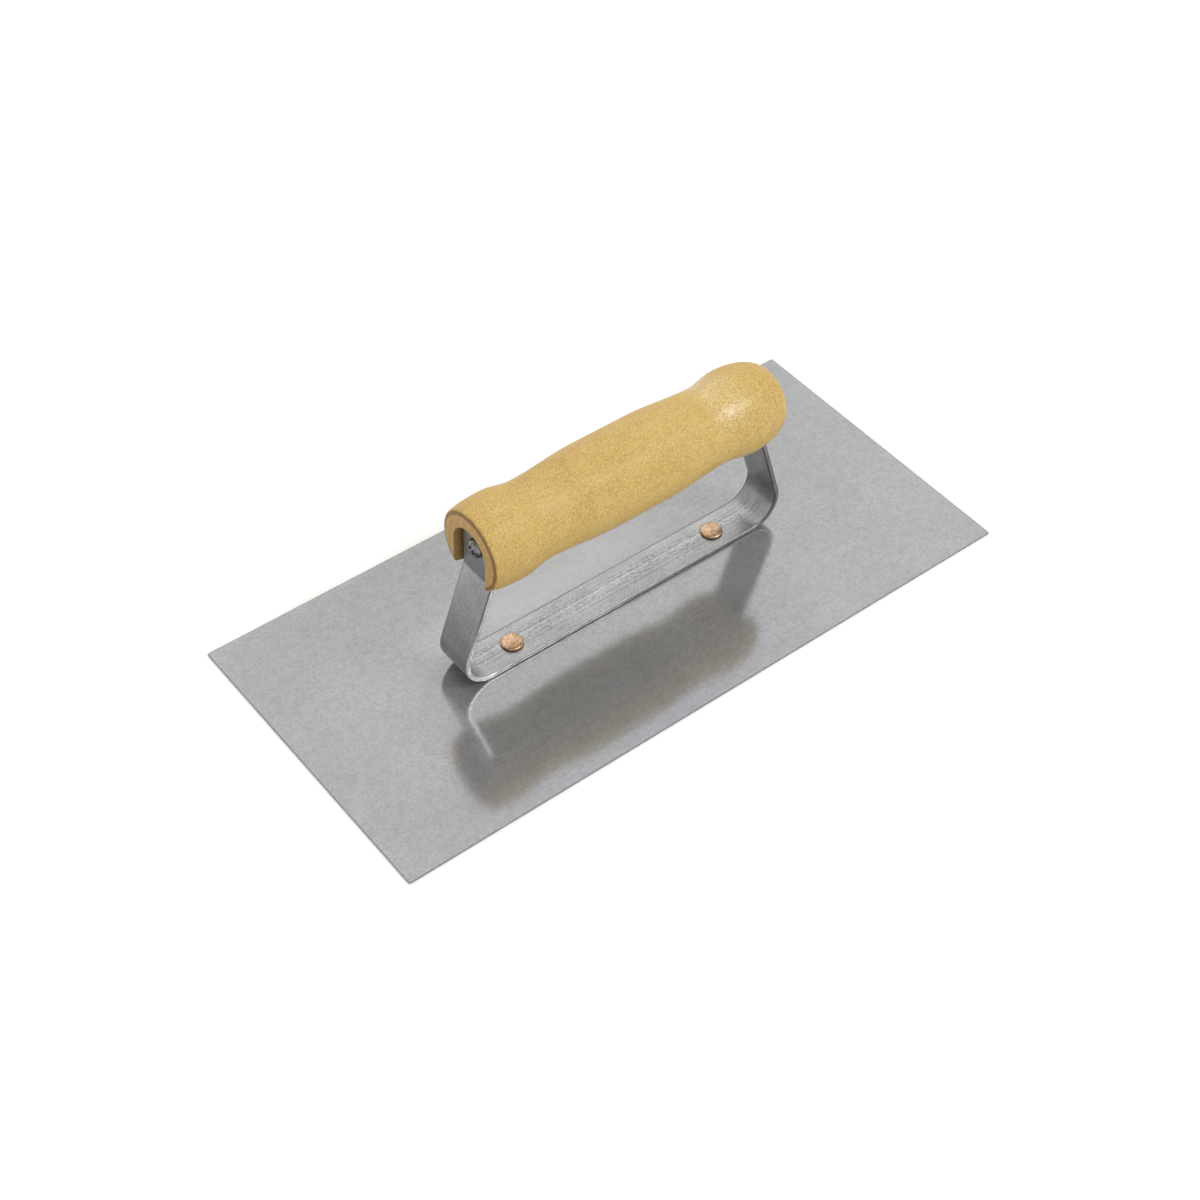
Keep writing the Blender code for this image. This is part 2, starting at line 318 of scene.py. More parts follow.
sheetSteel = {
    "colour": (0.336, 0.346, 0.361),
    "darkCloud": (0.308, 0.317, 0.331),
    "speck": (0.174, 0.179, 0.187),
    "shine": (0.47, 0.48, 0.495),
    "metallic": 0.54,
    "roughness": 0.122,
    "clouds": (22.0, 4.0, 0.55, 0.3),
    "cloudReach": (0.35, 0.68, 0.0, 1.0),
    "marks": (260.0, 2.0, 0.5),
    "markReach": (0.46, 0.66, 0.0, 0.16),
    "specks": (900.0, 3.0, 0.65),
    "speckReach": (0.38, 0.66, 0.0, 0.40),
    "brushing": ((9.0, 1300.0, 1300.0), 3.0, 0.6),
    "brushReach": (0.42, 0.70, 0.0, 0.10),
    "scratches": ((16.0, 620.0, 620.0), 1.0, 0.4),
    "scratchTurn": (0.0, 0.0, 0.12),
    "scratchReach": (0.72, 0.78, 0.0, 0.12),
    # painted light: a lighter patch beyond the strap, where the handle's shadow falls
    "paintedLightPatch": ((-0.018, 0.020), (0.075, 0.022), 0.30),  # middle, half size, share
    # painted reflection: a cool, slightly darker tint where the handle is mirrored on the near side
    "reflectionTintPatch": ((-0.030, -0.050), (0.100, 0.034), 1.0),
    "reflectionTint": (0.930, 0.950, 1.000),
    "patchCore": 0.3,
    "upperSkin": (0.0004, 0.0002),  # depths below the upper face
    "wearMix": (0.7, 0.3),
    "roughnessReach": (0.35, 0.65, 0.106, 0.138),
    "bump": (0.10, 0.00002),
}


def softPatch(tree, at, reach, share):
    stretch = (1 / reach[0], 1 / reach[1], 0.0)
    place = objectPlace(tree, stretch, shift=(-at[0] / reach[0], -at[1] / reach[1], 0.0))
    return remap(tree, distanceOf(tree, place), sheetSteel["patchCore"], 1.0, share, 0.0, True)


def sheetSteelFinish():
    finish, tree, shader = newFinish("sheetSteel", sheetSteel)
    plain = objectPlace(tree)
    clouds = cloudNoise(tree, plain, *sheetSteel["clouds"])
    marks = cloudNoise(tree, plain, *sheetSteel["marks"])
    specks = cloudNoise(tree, plain, *sheetSteel["specks"])
    brushing = stretchedNoise(tree, *sheetSteel["brushing"])
    scratches = stretchedNoise(tree, *sheetSteel["scratches"], turn=sheetSteel["scratchTurn"])
    tone = stain(tree, sheetSteel["darkCloud"], sheetSteel["colour"], clouds, sheetSteel["cloudReach"], True)
    tone = stain(tree, tone, sheetSteel["speck"], marks, sheetSteel["markReach"])
    tone = stain(tree, tone, sheetSteel["speck"], specks, sheetSteel["speckReach"])
    tone = stain(tree, tone, sheetSteel["shine"], brushing, sheetSteel["brushReach"])
    tone = stain(tree, tone, sheetSteel["shine"], scratches, sheetSteel["scratchReach"])
    # on the upper face only: painted light in a soft patch beyond the strap, where the handle casts its
    # shadow, and a painted cool, slightly darker tint over the handle's reflection on its near side
    skin, full = (bladeTop - depth for depth in sheetSteel["upperSkin"])
    upper = remap(tree, axisValue(tree, plain, "Z"), skin, full, 0.0, 1.0)
    rubbed = times(tree, softPatch(tree, *sheetSteel["paintedLightPatch"]), upper)
    tone = blendColours(tree, rubbed, tone, sheetSteel["shine"])
    reflectionTone = times(tree, softPatch(tree, *sheetSteel["reflectionTintPatch"]), upper)
    tone = blendColours(tree, reflectionTone, tone, sheetSteel["reflectionTint"], "MULTIPLY")
    tree.links.new(tone, shader.inputs["Base Color"])
    wear = mixOf(tree, clouds, specks, sheetSteel["wearMix"])
    setRoughness(tree, shader, wear, sheetSteel["roughnessReach"])
    raiseFrom(tree, shader, specks, *sheetSteel["bump"])
    return finish


shearedEdge = {
    "colour": (0.25, 0.25, 0.255),
    "dark": (0.13, 0.13, 0.135),
    "metallic": 0.7,
    "roughness": 0.45,
    "streaks": ((900.0, 900.0, 2600.0), 3.0, 0.6),
    "streakReach": (0.35, 0.66, 0.0, 1.0),
    "roughnessReach": (0.3, 0.7, 0.38, 0.55),
    "bump": (0.2, 0.00002),
}


def shearedEdgeFinish():
    finish, tree, shader = newFinish("shearedEdge", shearedEdge)
    streaks = stretchedNoise(tree, *shearedEdge["streaks"])
    tone = stain(tree, shearedEdge["colour"], shearedEdge["dark"], streaks, shearedEdge["streakReach"])
    tree.links.new(tone, shader.inputs["Base Color"])
    setRoughness(tree, shader, streaks, shearedEdge["roughnessReach"])
    raiseFrom(tree, shader, streaks, *shearedEdge["bump"])
    return finish


bladeShape = {
    "cornerRadius": 0.0005,
    "cornerSteps": 5,
    "edgeBreak": 0.00014,
    "edgeSteps": 2,
    "rimZone": 0.002,
    "sinkTop": 0.0030,
    "sinkBottom": 0.0043,
    "holeSides": 48,
}


def makeBlade(finish, edgeFinish):
    size = bladeHigh - bladeLow
    bpy.ops.mesh.primitive_cube_add(size=1.0, location=(bladeLow + bladeHigh) / 2)
    blade = bpy.context.object
    blade.name = "steelBlade"
    blade.scale = size
    applyPlace(blade)
    openForEditing(blade, "EDGE")
    pickEdges(blade, lambda a, b: abs(a.z - b.z) > size.z / 2)  # the four upright corner edges
    corner = bladeShape["cornerRadius"]
    bpy.ops.mesh.bevel(offset=corner, segments=bladeShape["cornerSteps"], affect="EDGES")
    pickEdges(blade, lambda a, b: abs(a.z - b.z) < size.z / 2)  # both rims, sheared and then eased
    bpy.ops.mesh.bevel(offset=bladeShape["edgeBreak"], segments=bladeShape["edgeSteps"], affect="EDGES")
    closeEditing()
    slope = (bladeShape["sinkBottom"] - bladeShape["sinkTop"]) / size.z
    for low, high in ((frontRivetLow, frontRivetHigh), (rearRivetLow, rearRivetHigh)):
        bpy.ops.mesh.primitive_cone_add(
            vertices=bladeShape["holeSides"],
            radius1=bladeShape["sinkBottom"] + slope * size.z / 2,
            radius2=bladeShape["sinkTop"] - slope * size.z / 2,
            depth=2 * size.z,
            location=((low.x + high.x) / 2, 0.0, bladeLow.z + size.z / 2))
        cutWith(blade, bpy.context.object)
    tidyShell(blade, smoothBelow=35.0)
    evenShade(blade)
    dress(blade, finish, edgeFinish)
    rimX, rimY = size.x / 2 - bladeShape["rimZone"], size.y / 2 - bladeShape["rimZone"]
    for face in blade.data.polygons:
        nearRim = abs(face.center.x) > rimX or abs(face.center.y) > rimY
        if nearRim and abs(face.normal.z) < squarely:
            face.material_index = 1
    return blade


stripSteel = {
    "colour": (0.338, 0.345, 0.356),
    "dull": (0.262, 0.269, 0.279),
    "groove": (0.105, 0.108, 0.112),
    "bright": (0.60, 0.61, 0.63),
    "metallic": 0.88,
    "roughness": 0.36,
    "wobble": (30.0, 2.0),
    "wobbleWidth": 0.0009,
    "clouds": (80.0, 4.0, 0.6),
    "cloudReach": (0.35, 0.68, 0.0, 0.9),
    "lines": ((34.0, 1150.0, 34.0), 4.0, 0.65),
    "lineReach": (0.44, 0.70, 0.0, 0.24),
    "specks": (1150.0, 3.0, 0.7),
    "speckReach": (0.42, 0.70, 0.0, 0.34),
    "dashes": ((620.0, 1500.0, 620.0), 3.0, 0.6),
    "darkDashReach": (0.53, 0.63, 0.0, 0.46),
    "lightDashReach": (0.46, 0.36, 0.0, 0.24),
    "bandMiddle": 0.0012,
    "bandReach": (0.0012, 0.0044, 1.0, 0.0),
    "lowPart": (0.0035, 0.0080, 1.0, 0.12),  # heights above the strap's underside
    "brokenReach": (0.40, 0.52, 0.35, 1.0),
    # the first dark line, at the far edge, is painted shade; the rest are scratches
    "darkLinesAt": (0.0079, 0.0041, 0.0028, -0.0010, -0.0030),
    "darkLineShare": 0.62,
    "brightLineAt": 0.0016,
    "brightLineShare": 0.45,
    "lineWidth": 0.00030,
    "roughnessReach": (0.3, 0.7, 0.30, 0.42),
    "reliefMix": (0.6, 0.4),
    "bump": (0.35, 0.00004),
}


def lineAcross(tree, across, wobble, centre):
    drift = times(tree, minus(tree, wobble, 0.5), stripSteel["wobbleWidth"])
    away = awayFrom(tree, plus(tree, across, drift), centre)
    return remap(tree, away, 0.0, stripSteel["lineWidth"], 1.0, 0.0, True)


def stripSteelFinish():
    finish, tree, shader = newFinish("stripSteel", stripSteel)
    plain = objectPlace(tree)
    across = axisValue(tree, plain, "Y")
    wobble = cloudNoise(tree, plain, *stripSteel["wobble"])
    clouds = cloudNoise(tree, plain, *stripSteel["clouds"])
    specks = cloudNoise(tree, plain, *stripSteel["specks"])
    lines = stretchedNoise(tree, *stripSteel["lines"])
    dashes = stretchedNoise(tree, *stripSteel["dashes"])
    tone = stain(tree, stripSteel["colour"], stripSteel["dull"], clouds, stripSteel["cloudReach"], True)
    tone = stain(tree, tone, stripSteel["groove"], lines, stripSteel["lineReach"])
    tone = stain(tree, tone, stripSteel["bright"], specks, stripSteel["speckReach"])
    # the rubbed band down the middle, full of short bright and dark dashes
    lowFrom, lowTo, *lowShares = stripSteel["lowPart"]
    height = axisValue(tree, plain, "Z")
    low = remap(tree, height, strapLow.z + lowFrom, strapLow.z + lowTo, *lowShares, True)
    band = remap(tree, awayFrom(tree, across, stripSteel["bandMiddle"]), *stripSteel["bandReach"], True)
    band = times(tree, band, low)
    darkDash = times(tree, band, remap(tree, dashes, *stripSteel["darkDashReach"]))
    tone = blendColours(tree, darkDash, tone, stripSteel["groove"])
    lightDash = times(tree, band, remap(tree, dashes, *stripSteel["lightDashReach"]))
    tone = blendColours(tree, lightDash, tone, stripSteel["bright"])
    # a few broken dark scratches and one bright one run its whole length; the outermost dark line, along the
    # far edge, is painted shade
    broken = times(tree, low, remap(tree, dashes, *stripSteel["brokenReach"]))
    for centre in stripSteel["darkLinesAt"]:
        line = times(tree, lineAcross(tree, across, wobble, centre), broken)
        line = times(tree, line, stripSteel["darkLineShare"])
        tone = blendColours(tree, line, tone, stripSteel["groove"])
    line = times(tree, lineAcross(tree, across, wobble, stripSteel["brightLineAt"]), low)
    line = times(tree, line, stripSteel["brightLineShare"])
    tone = blendColours(tree, line, tone, stripSteel["bright"])
    tree.links.new(tone, shader.inputs["Base Color"])
    setRoughness(tree, shader, lines, stripSteel["roughnessReach"])
    relief = mixOf(tree, dashes, specks, stripSteel["reliefMix"])
    raiseFrom(tree, shader, relief, *stripSteel["bump"])
    return finish


polishedEdge = {
    "colour": (0.34, 0.345, 0.35),
    "rubbed": (0.25, 0.254, 0.26),
    # painted highlight, used on the front bend
    "bend": (0.90, 0.90, 0.90),
    "shadow": (0.088, 0.077, 0.066),
    "metallic": 0.85,
    "roughness": 0.38,
    "wear": (260.0, 4.0, 0.6),
    "wearReach": (0.42, 0.66, 0.0, 1.0),
    "frontBendHighlight": (0.0150, 0.0105),  # in from the front bend
    "bendHeight": (0.0100, 0.0340, 1.0, 0.0),
    # painted shade up the arms and on the rear bend
    "armReach": (0.020, 0.040, 0.0, 0.60),
    "rearBend": (0.0130, 0.0070),  # in from the rear bend
    "rearShare": 0.75,
    "footTop": 0.00125,
    "footSoft": 0.0002,
    "footShare": 0.92,
    "flatEnd": (0.0150, 0.0110),  # in from both bends
    "farSide": (0.0012, 0.0006),  # in from the far edge
    "farShare": 0.9,
    "roughnessReach": (0.3, 0.7, 0.34, 0.42),
    "dullArmReach": (0.014, 0.030, 0.0, 0.22),
}


def polishedEdgeFinish():
    finish, tree, shader = newFinish("polishedEdge", polishedEdge)
    plain = objectPlace(tree)
    wear = cloudNoise(tree, plain, *polishedEdge["wear"])
    along, across, height = (axisValue(tree, plain, axis) for axis in "XYZ")
    reach = (strapHigh.x - strapLow.x) / 2
    tone = stain(tree, polishedEdge["colour"], polishedEdge["rubbed"], wear, polishedEdge["wearReach"], True)
    # painted highlight on the front bend, low down; painted shade up the arms and on the rear bend
    frontFrom, frontFull = (middleX - reach + inset for inset in polishedEdge["frontBendHighlight"])
    frontBendHighlight = remap(tree, along, frontFrom, frontFull, 0.0, 1.0, True)
    low = remap(tree, height, *polishedEdge["bendHeight"], True)
    tone = blendColours(tree, times(tree, frontBendHighlight, low), tone, polishedEdge["bend"])
    tone = stain(tree, tone, polishedEdge["shadow"], height, polishedEdge["armReach"], True)
    rearFrom, rearFull = (middleX + reach - inset for inset in polishedEdge["rearBend"])
    rearBend = remap(tree, along, rearFrom, rearFull, 0.0, polishedEdge["rearShare"], True)
    tone = blendColours(tree, rearBend, tone, polishedEdge["shadow"])
    # painted contact shadow along the foot of the flat length
    seat = strapLow.z + polishedEdge["footTop"]
    soft = polishedEdge["footSoft"]
    foot = remap(tree, height, seat - soft, seat + soft, polishedEdge["footShare"], 0.0, True)
    flatFrom, flatTo = (reach - inset for inset in polishedEdge["flatEnd"])
    flat = remap(tree, awayFrom(tree, along, middleX), flatFrom, flatTo, 1.0, 0.0, True)
    tone = blendColours(tree, times(tree, foot, flat), tone, polishedEdge["shadow"])
    farFrom, farFull = (strapHigh.y - inset for inset in polishedEdge["farSide"])
    farSide = remap(tree, across, farFrom, farFull, 0.0, polishedEdge["farShare"], True)
    tone = blendColours(tree, farSide, tone, polishedEdge["shadow"])
    tree.links.new(tone, shader.inputs["Base Color"])
    dullArm = remap(tree, height, *polishedEdge["dullArmReach"], True)
    roughness = plus(tree, remap(tree, wear, *polishedEdge["roughnessReach"]), dullArm)
    tree.links.new(roughness, shader.inputs["Roughness"])
    return finish


strapShape = {
    "thickness": 0.0020,
    "bendRadius": 0.0125,
    "bendSteps": 20,
    "armLean": math.radians(18.2),
    "tabFace": 0.0645,
    "tabBendRadius": 0.0030,
    "tabBendSteps": 6,
    "endRound": 0.985,
    "endSteps": 18,
    "edgeRound": 0.00048,
    "edgeSteps": 4,
    "rivetHole": 0.0027,
    "screwHole": 0.0022,
    "holeSides": 40,
}


def makeStrap(finish, edgeFinish):
    width = strapHigh.y - strapLow.y
    reach = (strapHigh.x - strapLow.x) / 2
    thick = strapShape["thickness"]
    under = bladeTop + snug
    flatHalf = reach - strapShape["bendRadius"]
    lean = strapShape["armLean"]
    bpy.ops.mesh.primitive_cube_add(size=1.0, location=(middleX, 0.0, under + thick / 2))
    strap = bpy.context.object
    strap.name = "handleBracket"
    strap.scale = (2 * flatHalf, width, thick)
    applyPlace(strap)
    openForEditing(strap, "FACE")
    for side in (1, -1):
        # round the lower bend, up the leaning arm, round the small upper bend and up the tab
        edgeX = flatHalf * 0.99
        pickFaces(strap, lambda at, facing: side * facing.x > squarely and side * (at.x - middleX) > edgeX)
        bendAt = (middleX + side * flatHalf, 0.0, under + strapShape["bendRadius"])
        spinFaces(bendAt, (0.0, 1.0 * side, 0.0), math.pi / 2 + lean, strapShape["bendSteps"])
        footX = flatHalf + strapShape["bendRadius"] * math.cos(lean)
        footZ = bendAt[2] + strapShape["bendRadius"] * math.sin(lean)
        upperX = strapShape["tabFace"] + strapShape["tabBendRadius"]
        kneeX = upperX - strapShape["tabBendRadius"] * math.cos(lean)
        rise = (footX - kneeX) / math.tan(lean)
        pull(x=side * (kneeX - footX), z=rise)
        kneeZ = footZ + rise
        upperZ = kneeZ + strapShape["tabBendRadius"] * math.sin(lean)
        upperBend = (middleX + side * upperX, 0.0, upperZ)
        spinFaces(upperBend, (0.0, -1.0 * side, 0.0), lean, strapShape["tabBendSteps"])
        pull(z=strapHigh.z - upperZ)
    closeEditing()
    # the two corners of each tab are cut round
    openForEditing(strap, "EDGE")
    pickEdges(strap, lambda a, b: min(a.z, b.z) > strapHigh.z - hair and abs(a.y - b.y) < hair)
    corner = width / 2 * strapShape["endRound"]
    bpy.ops.mesh.bevel(offset=corner, segments=strapShape["endSteps"], affect="EDGES")
    closeEditing()
    for low, high in ((frontRivetLow, frontRivetHigh), (rearRivetLow, rearRivetHigh)):
        bpy.ops.mesh.primitive_cylinder_add(
            vertices=strapShape["holeSides"], radius=strapShape["rivetHole"], depth=3 * thick,
            location=((low.x + high.x) / 2, 0.0, under + thick / 2))
        cutWith(strap, bpy.context.object)
    for side in (1, -1):
        face = middleX + side * strapShape["tabFace"]
        inner, outer = face - 2 * thick, face + 2 * thick
        cutWith(strap, rodAlongX(strapShape["screwHole"], inner, outer, axisZ, strapShape["holeSides"]))
    tidyShell(strap, smoothBelow=30.0)
    dress(strap, finish, edgeFinish)
    roundEdges(strap, strapShape["edgeRound"], strapShape["edgeSteps"], sharperThan=55.0, finishIndex=1)
    tidyShell(strap, smoothBelow=40.0)
    evenShade(strap)
    return strap


varnishedPine = {
    "colour": (0.540, 0.370, 0.106),
    "amber": (0.455, 0.285, 0.068),
    "tan": (0.555, 0.345, 0.128),
    "straw": (0.535, 0.400, 0.112),
    "pale": (0.640, 0.475, 0.185),
    "fleck": (0.340, 0.200, 0.052),
    "scorch": (0.135, 0.058, 0.015),
    "underside": (0.540, 0.450, 0.320),
    "blotches": ((24.0, 36.0, 36.0), 3.0, 0.55, 0.4),
    "blotchReach": (0.34, 0.66, 0.0, 0.9),
    "tans": (70.0, 3.0, 0.5),
    "tanShift": (3.1, 0.0, 0.0),
    "tanReach": (0.44, 0.62, 0.0, 0.55),
    "straws": (95.0, 3.0, 0.5),
    "strawShift": (0.0, 5.3, 0.0),
    "strawReach": (0.44, 0.62, 0.0, 0.50),
    "mottle": (330.0, 2.0, 0.5),
    "mottleReach": (0.40, 0.64, 0.0, 0.22),
    "grain": ((55.0, 760.0, 760.0), 3.0, 0.6, 0.2),
    "grainReach": (0.48, 0.66, 0.0, 0.44),
    "turning": ((2300.0, 1250.0, 1250.0), 3.0, 0.65, 0.3),
    "turningPale": (0.46, 0.66, 0.0, 0.84),
    "turningDark": (0.50, 0.34, 0.0, 0.50),
    "pores": ((420.0, 1700.0, 1700.0), 2.0, 0.5),
    "poreReach": (0.58, 0.70, 0.0, 0.50),
    "rings": ((1150.0, 36.0, 36.0), 2.0, 0.5),
    "ringReach": (0.52, 0.64, 0.0, 0.45),
    # along the handle from its middle, and up from its axis
    "ringedEnd": (0.054, 0.060, 0.0, 1.0),
    # painted shade on the front bulge, most of it low down, and round the rear end
    "frontBulge": (-0.036, -0.056, 0.0, 0.75),
    "frontBulgeLow": (0.012, -0.002, 0.25, 1.0),
    "rearEndShade": (0.052, 0.062, 0.0, 0.35),
    "belowReach": (-0.0040, -0.0135, 0.0, 0.65),
    "handPolish": ((0.030, 0.039), (0.046, 0.052), (0.002, 0.008)),
    "thickCoat": ((0.033, 0.041), (0.046, 0.054), (0.004, 0.011)),
    # in from the front face
    "scorchReach": (0.00035, 0.00075, 0.80, 0.0),
    "scorchWander": 0.0006,
    "metallic": 0.0,
    "roughness": 0.52,
    "polished": 0.40,
    "sheenSpread": 0.80,
    "sheenReach": (0.12, 1.0, 0.12, 1.0),
    "coatFlecks": (0.42, 0.60, 0.08, 1.0),
    "coatRoughness": 0.43,
    "coatIor": 2.0,
    "specular": 0.42,
    "reliefMix": (0.6, 0.4),
    "bump": (0.7, 0.00008),
}


def heightReach(tree, height, reach):
    # a reach up from the handle's axis
    low, high, *shares = reach
    return remap(tree, height, axisZ + low, axisZ + high, *shares, True)


def upperPatch(tree, fromMiddle, height, start, end, above):
    # a patch round the upper side of the handle, soft where it starts and ends
    begun = remap(tree, fromMiddle, *start, 0.0, 1.0, True)
    ended = remap(tree, fromMiddle, *end, 1.0, 0.0, True)
    return times(tree, times(tree, begun, ended), heightReach(tree, height, (*above, 0.0, 1.0)))


def varnishedPineFinish():
    finish, tree, shader = newFinish("varnishedPine", varnishedPine)
    plain = objectPlace(tree)
    along = axisValue(tree, plain, "X")
    height = axisValue(tree, plain, "Z")
    fromMiddle = minus(tree, along, middleX)
    blotches, turning, pores, rings, grain = (
        stretchedNoise(tree, *varnishedPine[pattern])
        for pattern in ("blotches", "turning", "pores", "rings", "grain"))
    tanPlace = objectPlace(tree, shift=varnishedPine["tanShift"])
    tans = cloudNoise(tree, tanPlace, *varnishedPine["tans"])
    strawPlace = objectPlace(tree, shift=varnishedPine["strawShift"])
    straws = cloudNoise(tree, strawPlace, *varnishedPine["straws"])
    mottle = cloudNoise(tree, plain, *varnishedPine["mottle"])
    # broad patches of the wood's own colours
    tone = varnishedPine["amber"]
    for colour, pattern, reach in (
            ("colour", blotches, "blotchReach"),
            ("tan", tans, "tanReach"),
            ("straw", straws, "strawReach"),
            ("amber", mottle, "mottleReach"),
            ("amber", grain, "grainReach")):
        tone = stain(tree, tone, varnishedPine[colour], pattern, varnishedPine[reach], True)
    # darker amber as painted shade: on the front bulge, most of it low down, and round the rear end
    frontBulgeShade = times(
        tree, remap(tree, fromMiddle, *varnishedPine["frontBulge"], True),
        heightReach(tree, height, varnishedPine["frontBulgeLow"]))
    tone = blendColours(tree, frontBulgeShade, tone, varnishedPine["amber"])
    tone = stain(tree, tone, varnishedPine["amber"], fromMiddle, varnishedPine["rearEndShade"], True)
    ringed = times(
        tree, remap(tree, fromMiddle, *varnishedPine["ringedEnd"], True),
        remap(tree, rings, *varnishedPine["ringReach"], True))
    tone = blendColours(tree, ringed, tone, varnishedPine["fleck"])
    # fine turning marks and pores
    for colour, pattern, reach in (
            ("pale", turning, "turningPale"),
            ("fleck", turning, "turningDark"),
            ("fleck", pores, "poreReach")):
        tone = stain(tree, tone, varnishedPine[colour], pattern, varnishedPine[reach])
    # painted shade: the handle's underside is darker and greyer
    below = heightReach(tree, height, varnishedPine["belowReach"])
    tone = blendColours(tree, below, tone, varnishedPine["underside"])
    # the scorched front rim, with a wandering edge
    depth = minus(tree, along, handleLow.x)
    wander = times(tree, minus(tree, mottle, 0.5), varnishedPine["scorchWander"])
    edge = plus(tree, depth, wander)
    tone = stain(tree, tone, varnishedPine["scorch"], edge, varnishedPine["scorchReach"], True)
    tree.links.new(tone, shader.inputs["Base Color"])
    # a hand has polished the flank of the rear bulge, on its upper side only
    polish = upperPatch(tree, fromMiddle, height, *varnishedPine["handPolish"])
    gloss = times(tree, polish, varnishedPine["roughness"] - varnishedPine["polished"])
    uneven = times(tree, minus(tree, turning, 0.5), varnishedPine["sheenSpread"])
    sheen = plus(tree, minus(tree, varnishedPine["roughness"], gloss), uneven)
    setRoughness(tree, shader, sheen, varnishedPine["sheenReach"])
    # a thicker, flecked coat of varnish on the same flank
    coated = upperPatch(tree, fromMiddle, height, *varnishedPine["thickCoat"])
    flecked = times(tree, coated, remap(tree, turning, *varnishedPine["coatFlecks"]))
    tree.links.new(flecked, shader.inputs["Coat Weight"])
    shader.inputs["Coat Roughness"].default_value = varnishedPine["coatRoughness"]
    shader.inputs["Coat IOR"].default_value = varnishedPine["coatIor"]
    shader.inputs["Specular IOR Level"].default_value = varnishedPine["specular"]
    relief = mixOf(tree, turning, mottle, varnishedPine["reliefMix"])
    raiseFrom(tree, shader, relief, *varnishedPine["bump"])
    return finish


sawnEnd = {
    "colour": (0.53, 0.335, 0.122),
    "dark": (0.39, 0.218, 0.072),
    "metallic": 0.0,
    "roughness": 0.55,
    "ringStretch": (0.02, 1.0, 1.0),
    "ringShift": (0.0, 0.031, -0.058),
    "ringScale": 105.0,
    "ringDistortion": 3.0,
    "ringDetail": 3.0,
    "ringDetailScale": 2.5,
    "ringReach": (0.2, 0.9, 0.0, 0.42),
    "clouds": (300.0, 3.0),
    "cloudReach": (0.38, 0.66, 0.0, 0.55),
    "poreStretch": (0.3, 1.0, 1.0),
    "pores": (1900.0, 3.0, 0.7),
    "poreReach": (0.46, 0.66, 0.0, 0.7),
    "rimReach": (0.0139, 0.0143, 0.0, 0.70),  # out from the axis
    "tipReach": (-0.0085, -0.0125, 0.0, 0.70),  # up from the axis
    "roughnessReach": (0.3, 0.7, 0.45, 0.65),
    "bump": (0.5, 0.00006),
}


def sawnEndFinish():
    finish, tree, shader = newFinish("sawnEnd", sawnEnd)
    plain = objectPlace(tree)
    rings = tree.nodes.new("ShaderNodeTexWave")
    rings.wave_type = "RINGS"
    rings.rings_direction = "X"
    rings.inputs["Scale"].default_value = sawnEnd["ringScale"]
    rings.inputs["Distortion"].default_value = sawnEnd["ringDistortion"]
    rings.inputs["Detail"].default_value = sawnEnd["ringDetail"]
    rings.inputs["Detail Scale"].default_value = sawnEnd["ringDetailScale"]
    ringPlace = objectPlace(tree, sawnEnd["ringStretch"], shift=sawnEnd["ringShift"])
    tree.links.new(ringPlace, rings.inputs["Vector"])
    pores = cloudNoise(tree, objectPlace(tree, sawnEnd["poreStretch"]), *sawnEnd["pores"])
    clouds = cloudNoise(tree, plain, *sawnEnd["clouds"])
    tone = stain(tree, sawnEnd["colour"], sawnEnd["dark"], rings.outputs["Fac"], sawnEnd["ringReach"], True)
    tone = stain(tree, tone, sawnEnd["dark"], clouds, sawnEnd["cloudReach"], True)
    tone = stain(tree, tone, varnishedPine["fleck"], pores, sawnEnd["poreReach"])
    out = distanceOf(tree, objectPlace(tree, (0.0, 1.0, 1.0), shift=(0.0, 0.0, -axisZ)))
    tone = stain(tree, tone, varnishedPine["scorch"], out, sawnEnd["rimReach"], True)
    # the tips of the two legs are darker
    tips = heightReach(tree, axisValue(tree, plain, "Z"), sawnEnd["tipReach"])
    tone = blendColours(tree, tips, tone, varnishedPine["scorch"])
    tree.links.new(tone, shader.inputs["Base Color"])
    setRoughness(tree, shader, pores, sawnEnd["roughnessReach"])
    raiseFrom(tree, shader, pores, *sawnEnd["bump"])
    return finish


slotWood = {
    # dark brown: partly the bare wood's own colour, partly painted shade inside the slot
    "colour": (0.250, 0.150, 0.048),
    "deep": (0.105, 0.060, 0.020),
    "mouth": (0.42, 0.270, 0.090),
    "mouthDepth": 0.0035,
    "mouthShare": 0.8,
    "metallic": 0.0,
    "roughness": 0.62,
    "strokes": ((160.0, 1500.0, 900.0), 4.0, 0.7),
    "strokeReach": (0.35, 0.68, 0.0, 0.8),
    "patches": (240.0, 3.0),
    "patchReach": (0.4, 0.7, 0.0, 0.4),
    "roughnessReach": (0.3, 0.7, 0.5, 0.75),
    "bump": (0.6, 0.00008),
}


def slotWoodFinish():
    finish, tree, shader = newFinish("slotWood", slotWood)
    plain = objectPlace(tree)
    strokes = stretchedNoise(tree, *slotWood["strokes"])
    patches = cloudNoise(tree, plain, *slotWood["patches"])
    tone = stain(tree, slotWood["colour"], slotWood["deep"], strokes, slotWood["strokeReach"])
    tone = stain(tree, tone, slotWood["colour"], patches, slotWood["patchReach"])
    # painted shade: darker deep in the slot, lighter towards its mouth
    fromMiddle = awayFrom(tree, axisValue(tree, plain, "X"), middleX)
    face = middleX - handleLow.x
    mouth = remap(tree, fromMiddle, face - slotWood["mouthDepth"], face, 0.0, slotWood["mouthShare"])
    tone = blendColours(tree, mouth, tone, slotWood["mouth"])
    tree.links.new(tone, shader.inputs["Base Color"])
    setRoughness(tree, shader, strokes, slotWood["roughnessReach"])
    raiseFrom(tree, shader, strokes, *slotWood["bump"])
    return finish


